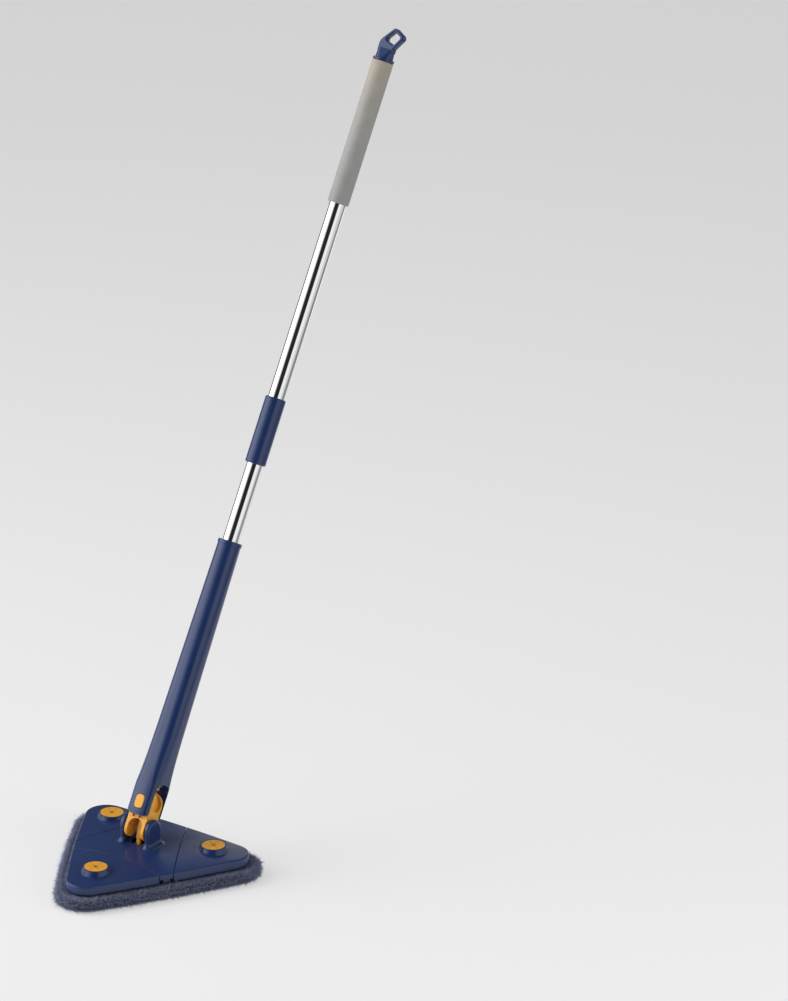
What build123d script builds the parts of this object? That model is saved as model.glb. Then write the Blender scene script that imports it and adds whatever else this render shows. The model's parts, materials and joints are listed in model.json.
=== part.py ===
from build123d import *

import os
from math import atan2, cos, degrees, radians, sin, sqrt, tan

# A triangular flat mop whose corners fold down and wring the pad when its pole is twisted.
# Millimetres and degrees. +Z is up, the origin is the middle of the head on the floor.
# The tilt axis is X. The pole leans towards +Y, and one corner of the head points to -Y.

# Driving dimensions of the pad and the head
PAD_SPAN = 270.0
PAD_CORNER_R = 40.0
PAD_T = 17.0
PAD_ROUND = 6.0
HOOK_T = 2.0
HOOK_INSET = 1.5
PLATE_EDGE = 79.5
PLATE_CORNER_R = 26.0
EDGE_BOW = 2.5
RIM_H = 10.5
RIM_DRAFT = 0.8
RIM_ROUND = 2.2
DOME_H = 9.0
DOME_SHARES = (1.0, 0.7, 0.4, 0.12)
DOME_ROUNDNESS = 0.9
SKIN = 2.5
BASE_T = 3.0
BASE_INSET = 3.2
FRONT_CORNER = 270.0

# Fold hinges between the centre plate and the three flaps
FOLD_DIST = 48.5
SEAM = 0.8
FOLD_UP = 4.0
BARREL_R = 3.0
FOLD_PIN_R = 1.25
BARREL_IN = 20.0
BARREL_OUT = 52.0
BARREL_LEN = 8.0
WALL_BACK = 3.5
WALL_T = 2.0
WEB_T = 3.0
LEVER_IN = 9.0
LEVER_W = 10.0
LEVER_T = 2.5
LEVER_UP = 1.5
PAD_LAP = 4.0
HOOK_BACK = 8.0
NOTCH_W = 20.0
NOTCH_DEEP = 10.0
NOTCH_BACK = 4.2

# Cloth grippers on the flaps
GRIPPER_DIST = 89.2
GRIPPER_D = 28.2
GRIPPER_T = 2.5
GRIPPER_TOP = 20.0
GRIPPER_HOLE_R = 2.0
GRIPPER_SLITS = 6
SLIT_W = 0.7
SLIT_OUT = 11.5
RING_W = 1.6
RING_FLARE = 3.2
CUP_D = 22.0
CUP_DEPTH = 6.0

# Ears and the tilt hinge
PIN_UP = 42.0
EAR_IN = 14.6
EAR_T = 7.5
EAR_W = 26.0
EAR_UP = 10.6
EAR_CORNER = 12.5
EAR_FLARE = 8.0
EAR_SHARES = (1.0, 0.95, 0.75, 0.4, 0.0)
EAR_ROUND = 3.0
TILT_PIN_R = 4.0
TILT_PIN_BITE = 3.0
STRAP_HOLE_X = 24.0
STRAP_HOLE_Y = 18.0

# Pull hub under the dome, and the screws of the base cover
HUB_R = 19.0
ARM_W = 9.0
ARM_GAP = 1.0
ARM_SLOPE = 3.0
ARM_DROP = 1.3
POST_R = 2.5
POST_DIST = 14.0
POST_H = 12.0
TOWER_X = 14.0
TOWER_Y = 11.0
TOWER_TOP = 17.0
SCREW_DIST = 30.0
SCREW_R = 1.5
SCREW_HEAD_R = 3.0
SCREW_HEAD_T = 1.2
SCREW_L = 12.0
BOSS_R = 4.0

# Pull strap and its two pins
STRAP_W = 7.0
STRAP_T = 4.0
STRAP_EYE_R = 3.5
STRAP_PIN_R = 1.6
STRAP_PIN_UP = 12.5
STRAP_FRONT = 4.5
STRAP_SHIFT = 3.0
STRAP_LOW = 4.0
STRAP_TURN = 22.0
STRAP_TOP = 50.0
STRAP_BEND_LOW = 14.0
STRAP_BEND_HIGH = 40.0

# Lean of the pole, and the knuckle at its foot
LEAN = 30.4
KNUCKLE_W = 28.0
CHEEK_T = 4.0
LOBE_DROP = 6.5
KNUCKLE_TOP = 43.0
KNUCKLE_FRONT = 10.8
KNUCKLE_BACK = 13.2
KNUCKLE_TURN = 24.0
KNUCKLE_CROWN = 6.0
KNUCKLE_EASE = 4.5
KNUCKLE_ROUND = 9.0
ARCH_UP = 6.3
CHANNEL_X = 10.0
CHANNEL_FRONT = 4.8
CHANNEL_BACK = 3.2
POCKET_Y = 14.6
POCKET_S = 20.5
POCKET_R = 6.0
POCKET_DEPTH = 4.5
POCKET_UP = 29.8
POCKET_BACK = 2.3
POCKET_WALL = 2.2
DIMPLE_X = 6.5
DIMPLE_S = 5.0
DIMPLE_UP = 10.0
DIMPLE_STEP = 9.0
DIMPLE_DEPTH = 2.0
SWING_UP = 27.0
SWING_PIN_R = 3.5
SWING_BOSS_R = 8.0
SWING_BUSH_T = 1.5
SWING_BUSH_L = 7.0
SWING_HEAD_R = 6.0
SWING_HEAD_T = 1.5
TURN_RING_R = 11.8
TURN_RING_W = 1.5
TURN_RING_BITE = 1.0

# Sleeve, whose heights are measured from the tilt pin along the pole
SLEEVE_LOW = 10.5
SLEEVE_TOP = 360.0
SLEEVE_W = 33.5
SLEEVE_CORNER = 6.5
SLEEVE_END_R = 10.0
FLARE_UP = 50.0
CORNER_SHARE = 0.8
CORNER_POWER = 13
FLARE_SHARES = (0.0, 0.03, 0.07, 0.12, 0.18, 0.25)
SHANK_SHARES = (0.25, 0.4, 0.6, 0.8, 1.0)
SLEEVE_SKIN = 2.2
NECK_W = 28.7
NECK_CORNER = 14.2
RIM_D = 30.2
RIM_L = 5.0
SLEEVE_RIM_ROUND = 1.2
CHEEK_WALL = 3.0
SLOT_TOP = 53.7
SLOT_CORNER = 11.0
BORE_D = 23.8
KEYWAY_W = 5.0
KEYWAY_DEPTH = 2.0
PANEL_W = 26.5
PANEL_LOW = 13.8
PANEL_TOP = 200.0
PANEL_RISE = 0.7
PANEL_END_R = 6.6

# Button on the front of the sleeve, and the cone spring behind it
BUTTON_W = 12.0
BUTTON_H = 17.0
BUTTON_R = 4.5
BUTTON_PROUD = 1.0
BUTTON_LIP = 1.0
BUTTON_LIP_T = 1.0
BUTTON_ROUND = 0.8
SPRING_WIDE_R = 7.5
SPRING_NARROW_R = 5.0
SPRING_T = 0.5
SPRING_SEAT = 1.0

# Wringing drive in the sleeve
TRAVELLER_LOW = 45.5
CLEVIS_X = 14.0
CLEVIS_Y = 11.0
NUT_LOW = 60.0
NUT_L = 12.0
LEAD_R = 4.0
LEAD_LOW = 61.0
THRUST_LOW = 84.0
THRUST_L = 5.0
COLLAR_R = 8.0
COLLAR_L = 3.6
RETAINER_L = 4.0
HEX_AF = 9.0
ROD_TOP = 350.0

# Pole
TUBE_D = 20.5
TUBE_WALL = 0.3
TUBE_LOW = 108.0
KEY_FLANGE_L = 4.0
KEY_SPIGOT_L = 14.0
GUIDE_L = 20.0
COUPLER_LOW = 458.0
COUPLER_L = 84.0
COUPLER_D = 25.8
COUPLER_CHAMFER = 1.2
INSERT_BITE = 30.0
INSERT_FLANGE = 1.0
INSERT_WALL = 2.0
GRIP_LOW = 789.0
GRIP_L = 181.0
GRIP_D = 26.4
GRIP_ROUND = 1.6
GRIP_WALL = 1.4
GRIP_SEAT = 6.0
TUBE_SHORT = 4.0

# Hook cap at the top of the pole
CAP_FLANGE_D = 26.8
CAP_FLANGE_L = 3.0
CAP_SPIGOT_L = 30.0
CAP_WALL = 2.0
HOOK_NECK_D = 22.6
HOOK_FLAT_T = 9.5
HOOK_FLAT_R = 4.5
HOOK_NECK_L = 16.0
HOOK_FOOT = 12.0
HOOK_LEFT = 24.0
HOOK_RIGHT = 17.0
HOOK_PEAK_X = 5.0
HOOK_PEAK = 43.5
HOOK_TIP_X = 22.5
HOOK_TIP = 34.3
HOOK_WALL = 4.2
HOOK_BEND_R = 10.0
HOOK_PEAK_R = 5.0
HOOK_HOLE_R = 2.5
HOOK_ROUND = 2.0

# Named clearances
FIT = 0.05
SLIDE = 0.1
LOOSE = 0.2
SIDE_GAP = 0.3

# The three corners, a third of a turn apart
THIRD = 360 / 3
CORNERS = {"a": FRONT_CORNER, "b": FRONT_CORNER + THIRD, "c": FRONT_CORNER + 2 * THIRD}

# Levels of the head, from the floor up
PLATE_Z = PAD_T + HOOK_T
BASE_TOP = PLATE_Z + BASE_T
FOLD_Z = PLATE_Z + FOLD_UP
RIM_TOP = PLATE_Z + RIM_H
DOME_TOP = RIM_TOP + DOME_H
PIN_Z = PLATE_Z + PIN_UP
STRAP_PIN_Z = PLATE_Z + STRAP_PIN_UP
GRIPPER_Z = PLATE_Z + GRIPPER_TOP
PAD_EDGE = (PAD_SPAN - 2 * PAD_CORNER_R) / (4 * sin(radians(THIRD / 2))) + PAD_CORNER_R
EAR_FOOT = DOME_TOP - SKIN
EAR_WAIST = DOME_TOP - SKIN / 2 + EAR_FLARE
EAR_TOP = PIN_Z + EAR_UP
ARM_TOP = FOLD_Z + LEVER_UP - FIT
FAR = 4 * PLATE_EDGE

# Distances from the pole's axis, and places along it, that several pieces share
CHEEK_IN = SLEEVE_W / 2 - CHEEK_WALL
BOSS_BACK = CHEEK_IN - SIDE_GAP
BUTTON_BACK = CHEEK_IN - BUTTON_LIP_T
SPRING_LOW = KNUCKLE_FRONT - SPRING_SEAT
TUBE_R = TUBE_D / 2
TUBE_BORE_R = TUBE_R - TUBE_WALL
COLLAR_LOW = THRUST_LOW + THRUST_L + LOOSE
RETAINER_LOW = COLLAR_LOW + COLLAR_L + LOOSE
RETAINER_TOP = RETAINER_LOW + RETAINER_L
NECK_UP = SLEEVE_TOP - RIM_L
COUPLER_MIDDLE = COUPLER_LOW + COUPLER_L / 2
GRIP_TOP = GRIP_LOW + GRIP_L
TUBE_TOP = GRIP_TOP - TUBE_SHORT
CAP_TOP = GRIP_TOP + CAP_FLANGE_L

# Planes of the head and the handle. The handle's planes have the tilt pin at their origin:
# POLE is square to the pole, FACE looks out of its front and SIDE out of its right side.
AXIS = (0, sin(radians(LEAN)), cos(radians(LEAN)))
BACKWARD = (0, cos(radians(LEAN)), -sin(radians(LEAN)))
FORWARD = (0, -cos(radians(LEAN)), sin(radians(LEAN)))
HEAD = Plane.XY.rotated((0, 0, CORNERS["a"]))
POLE = Plane(origin=(0, 0, PIN_Z), x_dir=(1, 0, 0), z_dir=AXIS)
FACE = Plane(origin=(0, 0, PIN_Z), x_dir=(1, 0, 0), z_dir=FORWARD)
SIDE = Plane(origin=(0, 0, PIN_Z), x_dir=BACKWARD, z_dir=(1, 0, 0))


def rounded_triangle(edge, corner_r, bow):
    """Draws the head's outline: round corners joined by slightly bowed sides."""
    reach = 2 * (edge - corner_r)
    rise = reach / 2 + bow
    back = (reach**2 - rise**2) / (2 * bow)
    sixth = radians(THIRD / 2)
    half = degrees(atan2(reach * sin(sixth), back + reach * cos(sixth)))
    with BuildLine() as outline:
        for corner in (0, THIRD, 2 * THIRD):
            middle = corner + THIRD / 2
            tip = (reach * cos(radians(corner)), reach * sin(radians(corner)))
            CenterArc(tip, corner_r, corner - THIRD / 2 + half, THIRD - 2 * half)
            centre = (-back * cos(radians(middle)), -back * sin(radians(middle)))
            CenterArc(centre, back + edge + bow, middle - half, 2 * half)
    make_face(outline.edges())


def three_sides(distance, mode=Mode.ADD):
    """Draws the triangle whose three sides cross the corner directions at a distance."""
    RegularPolygon(distance, 3, major_radius=False, rotation=THIRD / 2, mode=mode)


def beyond(distance, mode=Mode.ADD):
    """Draws everything on the corner's side of a line across its direction."""
    with Locations((distance + FAR / 2, 0)):
        Rectangle(FAR, FAR, mode=mode)


def dome_body(inset, low):
    """Makes the domed block of the head, at an inset from its outer skin."""
    top_edge = PLATE_EDGE - inset - RIM_DRAFT
    top_corner = PLATE_CORNER_R - inset - RIM_DRAFT
    rim_top = RIM_TOP - inset
    with BuildSketch(HEAD.offset(low)) as foot:
        rounded_triangle(PLATE_EDGE - inset, PLATE_CORNER_R - inset, EDGE_BOW)
    with BuildSketch(HEAD.offset(rim_top)) as rim:
        rounded_triangle(top_edge, top_corner, EDGE_BOW)
    loft([foot.sketch, rim.sketch], ruled=True)
    slender = top_corner / top_edge
    levels = []
    for share in DOME_SHARES:
        with BuildSketch(HEAD.offset(rim_top + DOME_H * (1 - share**2))) as level:
            roundness = slender + (DOME_ROUNDNESS - slender) * (1 - share)
            rounded_triangle(top_edge * share, top_edge * share * roundness, EDGE_BOW * share)
        levels.append(level.sketch)
    loft(levels)


def block(plane, x_range, y_range, z_range, mode=Mode.ADD):
    """Makes a block between three pairs of limits in a plane's own directions."""
    with BuildSketch(plane.offset(z_range[0])) as foot:
        with Locations(((x_range[0] + x_range[1]) / 2, (y_range[0] + y_range[1]) / 2)):
            Rectangle(x_range[1] - x_range[0], y_range[1] - y_range[0])
    extrude(foot.sketch, amount=z_range[1] - z_range[0], mode=mode)


def rod(plane, centre, radius, start, end, mode=Mode.ADD):
    """Makes a cylinder between two heights along a plane's normal."""
    with BuildSketch(plane.offset(start)) as foot:
        with Locations(centre):
            Circle(radius)
    extrude(foot.sketch, amount=end - start, mode=mode)


def ring(plane, centre, outer, inner, start, end, mode=Mode.ADD):
    """Makes a ring between two heights along a plane's normal."""
    with BuildSketch(plane.offset(start)) as foot:
        with Locations(centre):
            Circle(outer)
            Circle(inner, mode=Mode.SUBTRACT)
    extrude(foot.sketch, amount=end - start, mode=mode)


def sleeve_section(up, rise):
    """Draws the sleeve's outline at a height, grown by a rise: square below, round above."""
    left = max(0, min(1, (NECK_UP - up) / (NECK_UP - FLARE_UP)))
    sharp = (1 - CORNER_SHARE) * left + CORNER_SHARE * left**CORNER_POWER
    width = NECK_W + (SLEEVE_W - NECK_W) * left + 2 * rise
    with BuildSketch(POLE.offset(up)) as section:
        RectangleRounded(width, width, NECK_CORNER + (SLEEVE_CORNER - NECK_CORNER) * sharp + rise)
    return section.sketch


def hinge_plane(corner):
    """The plane across a fold line, with X towards the corner and Y up, on the fold axis."""
    turn = radians(corner)
    origin = (FOLD_DIST * cos(turn), FOLD_DIST * sin(turn), FOLD_Z)
    return Plane(origin=origin, x_dir=(cos(turn), sin(turn), 0), z_dir=(sin(turn), -cos(turn), 0))


def keep(builder, name):
    """Labels a finished piece and writes it."""
    builder.part.label = name
    export_step(builder.part, f"parts/{name}.step")


os.makedirs("parts", exist_ok=True)

# Blocks shared by the centre plate and the flaps
with BuildPart() as head_block:
    dome_body(0, PLATE_Z)
    rim_edges = head_block.edges().filter_by(lambda edge: abs(edge.center().Z - RIM_TOP) < FIT)
    fillet(rim_edges, RIM_ROUND)

with BuildPart() as head_hollow:
    dome_body(SKIN, PLATE_Z - SKIN)

# Centre plate: shell, ears, hinge barrels and screw bosses
with BuildPart() as centre_hollow:
    add(head_hollow.part)
    with BuildSketch(HEAD):
        three_sides(FOLD_DIST + SEAM)
        three_sides(FOLD_DIST - WALL_BACK, Mode.SUBTRACT)
        three_sides(FOLD_DIST - WALL_BACK - WALL_T)
    extrude(amount=DOME_TOP, mode=Mode.INTERSECT)

with BuildPart() as ears:
    half = EAR_W / 2
    with BuildSketch(Plane.YZ.offset(EAR_IN)):
        with BuildLine():
            FilletPolyline((half, EAR_WAIST), (half, EAR_TOP), (-half, EAR_TOP), (-half, EAR_WAIST),
                           radius=EAR_CORNER)
            Line((-half, EAR_WAIST), (half, EAR_WAIST))
        make_face()
    extrude(amount=EAR_T)
    rims = ears.faces().filter_by(Axis.X).edges()
    fillet(rims.filter_by(lambda edge: edge.center().Z > EAR_WAIST + FIT), EAR_ROUND)
    levels = []
    for share in EAR_SHARES:
        grow = EAR_FLARE * (1 - sqrt(1 - share**2))
        with BuildSketch(Plane.XY.offset(EAR_WAIST - EAR_FLARE * share)) as level:
            with Locations((EAR_IN + EAR_T / 2, 0)):
                RectangleRounded(EAR_T + 2 * grow, EAR_W + 2 * grow, EAR_ROUND + grow)
        levels.append(level.sketch)
    loft(levels)
    extrude(levels[0], amount=EAR_FOOT - EAR_WAIST + EAR_FLARE)
    block(Plane.XY, (0, EAR_IN), (-EAR_W, EAR_W), (EAR_FOOT, EAR_WAIST), Mode.SUBTRACT)
    mirror(about=Plane.YZ)

with BuildPart() as centre_plate:
    add(head_block.part)
    with BuildSketch(HEAD):
        three_sides(FOLD_DIST - SEAM / 2)
    extrude(amount=DOME_TOP, mode=Mode.INTERSECT)
    add(centre_hollow.part, mode=Mode.SUBTRACT)
    add(ears.part)
    with BuildSketch(HEAD.offset(BASE_TOP)):
        with PolarLocations(SCREW_DIST, 3, start_angle=180):
            Circle(BOSS_R)
    extrude(amount=DOME_TOP - SKIN - BASE_TOP)
    with BuildSketch(HEAD.offset(BASE_TOP)):
        with PolarLocations(SCREW_DIST, 3, start_angle=180):
            Circle(SCREW_R + FIT)
    extrude(amount=SCREW_L, mode=Mode.SUBTRACT)
    with BuildSketch(HEAD.offset(PLATE_Z)):
        with PolarLocations(PLATE_EDGE, 3, start_angle=180):
            Rectangle(NOTCH_DEEP, NOTCH_W)
        three_sides(FOLD_DIST - NOTCH_BACK, Mode.SUBTRACT)
    extrude(amount=FOLD_UP, mode=Mode.SUBTRACT)
    with BuildSketch(Plane.XY.offset(BASE_TOP)):
        RectangleRounded(STRAP_HOLE_X, STRAP_HOLE_Y, STRAP_HOLE_Y / 2 - FIT)
    extrude(amount=DOME_TOP, mode=Mode.SUBTRACT)
    for corner in CORNERS.values():
        across = hinge_plane(corner)
        for near in (BARREL_IN, BARREL_OUT - BARREL_LEN):
            for start in (near, -near - BARREL_LEN):
                end = start + BARREL_LEN
                rod(across, (0, 0), BARREL_R, start, end)
                block(across, (-WALL_BACK - FIT, 0), (-WEB_T / 2, WEB_T / 2), (start, end))
                rod(across, (0, 0), FOLD_PIN_R + FIT, start, end, Mode.SUBTRACT)
        window = (-WALL_BACK - WALL_T - FIT, -WALL_BACK + FIT)
        half = LEVER_W / 2 + 2 * SIDE_GAP
        rise = (BASE_TOP - FOLD_Z, DOME_TOP - SKIN - FOLD_Z)
        block(across, window, rise, (-half, half), Mode.SUBTRACT)
    for side in (-1, 1):
        start = side * (EAR_IN - FIT)
        end = side * (EAR_IN + TILT_PIN_BITE)
        rod(Plane.YZ, (0, PIN_Z), TILT_PIN_R + FIT, start, end, Mode.SUBTRACT)
keep(centre_plate, "centre_plate")

# Base cover of the centre plate, with the posts that guide the hub
with BuildPart() as centre_base:
    with BuildSketch(HEAD.offset(PLATE_Z)):
        rounded_triangle(PLATE_EDGE - BASE_INSET, PLATE_CORNER_R - BASE_INSET, EDGE_BOW)
        three_sides(FOLD_DIST - WALL_BACK - WALL_T - LOOSE, Mode.INTERSECT)
        with PolarLocations(SCREW_DIST, 3, start_angle=180):
            Circle(SCREW_R + FIT, mode=Mode.SUBTRACT)
    extrude(amount=BASE_T)
    with BuildSketch(HEAD.offset(PLATE_Z)):
        with PolarLocations(SCREW_DIST, 3, start_angle=180):
            Circle(SCREW_HEAD_R + LOOSE)
    extrude(amount=SCREW_HEAD_T, mode=Mode.SUBTRACT)
    with BuildSketch(HEAD.offset(BASE_TOP)):
        with PolarLocations(POST_DIST, 3, start_angle=180):
            Circle(POST_R)
    extrude(amount=POST_H)
keep(centre_base, "centre_base")

with BuildPart() as base_screws:
    with BuildSketch(HEAD.offset(PLATE_Z)):
        with PolarLocations(SCREW_DIST, 3, start_angle=180):
            Circle(SCREW_HEAD_R)
    extrude(amount=SCREW_HEAD_T)
    with BuildSketch(HEAD.offset(PLATE_Z + SCREW_HEAD_T)):
        with PolarLocations(SCREW_DIST, 3, start_angle=180):
            Circle(SCREW_R)
    extrude(amount=SCREW_L)
keep(base_screws, "base_screws")

with BuildPart() as fold_pins:
    for corner in CORNERS.values():
        across = hinge_plane(corner)
        rod(across, (0, 0), FOLD_PIN_R, BARREL_IN, BARREL_OUT)
        rod(across, (0, 0), FOLD_PIN_R, -BARREL_OUT, -BARREL_IN)
keep(fold_pins, "fold_pins")

with BuildPart() as tilt_pins:
    inner = KNUCKLE_W / 2 - TILT_PIN_BITE
    outer = EAR_IN + TILT_PIN_BITE
    rod(Plane.YZ, (0, PIN_Z), TILT_PIN_R, inner, outer)
    rod(Plane.YZ, (0, PIN_Z), TILT_PIN_R, -inner, -outer)
keep(tilt_pins, "tilt_pins")

with BuildPart() as hook_sheet_centre:
    with BuildSketch(HEAD.offset(PAD_T)):
        rounded_triangle(PLATE_EDGE - HOOK_INSET, PLATE_CORNER_R - HOOK_INSET, EDGE_BOW)
        three_sides(FOLD_DIST - PAD_LAP, Mode.INTERSECT)
    extrude(amount=HOOK_T)
keep(hook_sheet_centre, "hook_sheet_centre")

# Pad with its round edge, cut into the middle and the three corners that fold
with BuildPart() as pad_block:
    with BuildSketch(HEAD):
        rounded_triangle(PAD_EDGE, PAD_CORNER_R, EDGE_BOW)
    extrude(amount=PAD_T)
    fillet(pad_block.faces().filter_by(Axis.Z).edges(), PAD_ROUND)

with BuildPart() as pad_centre:
    add(pad_block.part)
    with BuildSketch(HEAD):
        three_sides(FOLD_DIST - PAD_LAP)
    extrude(amount=PAD_T, mode=Mode.INTERSECT)
keep(pad_centre, "pad_centre")

# Flaps: shell, base cover, gripper, hook sheet and pad corner at each corner of the head
for name, corner in CORNERS.items():
    ground = Plane.XY.rotated((0, 0, corner))
    across = hinge_plane(corner)
    spot = (GRIPPER_DIST, 0)
    gripper_r = GRIPPER_D / 2
    ring_r = gripper_r + LOOSE + RING_W
    seat = GRIPPER_Z - GRIPPER_T
    cup = seat - CUP_DEPTH

    with BuildPart() as flap_hollow:
        add(head_hollow.part)
        with BuildSketch(ground):
            beyond(FOLD_DIST)
            with Locations((FOLD_DIST + WALL_BACK + WALL_T / 2, 0)):
                Rectangle(WALL_T, FAR, mode=Mode.SUBTRACT)
        extrude(amount=DOME_TOP, mode=Mode.INTERSECT)
        rod(ground, spot, CUP_D / 2 + RING_W, cup - RING_W, DOME_TOP, Mode.SUBTRACT)

    with BuildPart() as flap:
        add(head_block.part)
        with BuildSketch(ground):
            beyond(FOLD_DIST + SEAM / 2)
        extrude(amount=DOME_TOP, mode=Mode.INTERSECT)
        with BuildSketch(ground.offset(RIM_TOP)):
            with Locations(spot):
                Circle(ring_r + RING_FLARE)
        with BuildSketch(ground.offset(GRIPPER_Z)):
            with Locations(spot):
                Circle(ring_r)
        loft(ruled=True)
        add(flap_hollow.part, mode=Mode.SUBTRACT)
        rod(ground, spot, gripper_r + LOOSE, seat, GRIPPER_Z, Mode.SUBTRACT)
        rod(ground, spot, CUP_D / 2, cup, seat, Mode.SUBTRACT)
        low = BARREL_IN + BARREL_LEN + SIDE_GAP
        high = BARREL_OUT - BARREL_LEN - SIDE_GAP
        for start, end in ((low, high), (-high, -low)):
            rod(across, (0, 0), BARREL_R, start, end)
            block(across, (0, WALL_BACK + FIT), (-WEB_T / 2, WEB_T / 2), (start, end))
            rod(across, (0, 0), FOLD_PIN_R + FIT, start, end, Mode.SUBTRACT)
        block(across, (-LEVER_IN, WALL_BACK + FIT), (LEVER_UP, LEVER_UP + LEVER_T),
              (-LEVER_W / 2, LEVER_W / 2))
    keep(flap, f"flap_{name}")

    with BuildPart() as flap_base:
        with BuildSketch(ground.offset(PLATE_Z)):
            rounded_triangle(PLATE_EDGE - BASE_INSET, PLATE_CORNER_R - BASE_INSET, EDGE_BOW)
            beyond(FOLD_DIST + WALL_BACK + WALL_T + LOOSE, Mode.INTERSECT)
        extrude(amount=BASE_T)
    keep(flap_base, f"flap_base_{name}")

    with BuildPart() as gripper:
        with BuildSketch(ground.offset(seat)):
            with Locations(spot):
                Circle(gripper_r)
                Circle(GRIPPER_HOLE_R, mode=Mode.SUBTRACT)
                with PolarLocations(SLIT_OUT / 2, GRIPPER_SLITS):
                    Rectangle(SLIT_OUT, SLIT_W, mode=Mode.SUBTRACT)
        extrude(amount=GRIPPER_T)
    keep(gripper, f"gripper_{name}")

    with BuildPart() as hook_sheet:
        with BuildSketch(ground.offset(PAD_T)):
            rounded_triangle(PLATE_EDGE - HOOK_INSET, PLATE_CORNER_R - HOOK_INSET, EDGE_BOW)
            beyond(FOLD_DIST + HOOK_BACK, Mode.INTERSECT)
        extrude(amount=HOOK_T)
    keep(hook_sheet, f"hook_sheet_{name}")

    with BuildPart() as pad_corner:
        add(pad_block.part)
        with BuildSketch(ground):
            slant = FAR * tan(radians(THIRD / 2))
            Polygon((0, 0), (FAR, -slant), (FAR, slant), align=None)
            beyond(FOLD_DIST - PAD_LAP, Mode.INTERSECT)
        extrude(amount=PAD_T, mode=Mode.INTERSECT)
    keep(pad_corner, f"pad_corner_{name}")

# Pull hub: three arms under the flaps' levers, and the tower that holds the strap
with BuildPart() as pull_hub:
    rod(Plane.XY, (0, 0), HUB_R, BASE_TOP, ARM_TOP)
    tip = -BARREL_R - ARM_GAP
    low = BASE_TOP - FOLD_Z
    high = ARM_TOP - FOLD_Z
    for corner in CORNERS.values():
        with BuildSketch(hinge_plane(corner).offset(-ARM_W / 2)):
            with BuildLine():
                Polyline((-FOLD_DIST, low), (tip, low), (tip, high - ARM_DROP),
                         (tip - ARM_SLOPE, high), (-FOLD_DIST, high), close=True)
            make_face()
        extrude(amount=ARM_W)
    block(Plane.XY, (-TOWER_X / 2, TOWER_X / 2), (-TOWER_Y / 2, TOWER_Y / 2),
          (BASE_TOP, PLATE_Z + TOWER_TOP))
    with BuildSketch(HEAD.offset(BASE_TOP)):
        with PolarLocations(POST_DIST, 3, start_angle=180):
            Circle(POST_R + SLIDE)
    extrude(amount=ARM_TOP - BASE_TOP, mode=Mode.SUBTRACT)
    half = STRAP_W / 2 + SIDE_GAP
    floor = STRAP_PIN_Z - STRAP_EYE_R - SIDE_GAP
    block(Plane.XY, (-half, half), (-TOWER_Y, TOWER_Y), (floor, PLATE_Z + TOWER_TOP), Mode.SUBTRACT)
    rod(Plane.YZ, (-STRAP_SHIFT, STRAP_PIN_Z), STRAP_PIN_R + FIT, -TOWER_X, TOWER_X, Mode.SUBTRACT)
keep(pull_hub, "pull_hub")

with BuildPart() as strap_pin_low:
    rod(Plane.YZ, (-STRAP_SHIFT, STRAP_PIN_Z), STRAP_PIN_R, -TOWER_X / 2, TOWER_X / 2)
keep(strap_pin_low, "strap_pin_low")

# Pull strap, from the hub's pin past the tilt axis and up through the knuckle to the traveller
with BuildPart() as pull_strap:
    turn = POLE.from_local_coords((0, 0, STRAP_TURN))
    top = POLE.from_local_coords((0, 0, STRAP_TOP))
    with BuildLine() as strap_path:
        FilletPolyline((0, -STRAP_SHIFT, STRAP_PIN_Z), (0, -STRAP_FRONT, PIN_Z - STRAP_LOW),
                       turn, top, radius=(STRAP_BEND_LOW, STRAP_BEND_HIGH))
    path = strap_path.wire()
    with BuildSketch(Plane(origin=path @ 0, x_dir=(1, 0, 0), z_dir=path % 0)):
        Rectangle(STRAP_W, STRAP_T)
    sweep(path=path)
    half = STRAP_W / 2
    for plane, spot in ((Plane.YZ, (-STRAP_SHIFT, STRAP_PIN_Z)), (SIDE, (0, STRAP_TOP))):
        rod(plane, spot, STRAP_EYE_R, -half, half)
        rod(plane, spot, STRAP_PIN_R + SLIDE, -half, half, Mode.SUBTRACT)
keep(pull_strap, "pull_strap")

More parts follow.
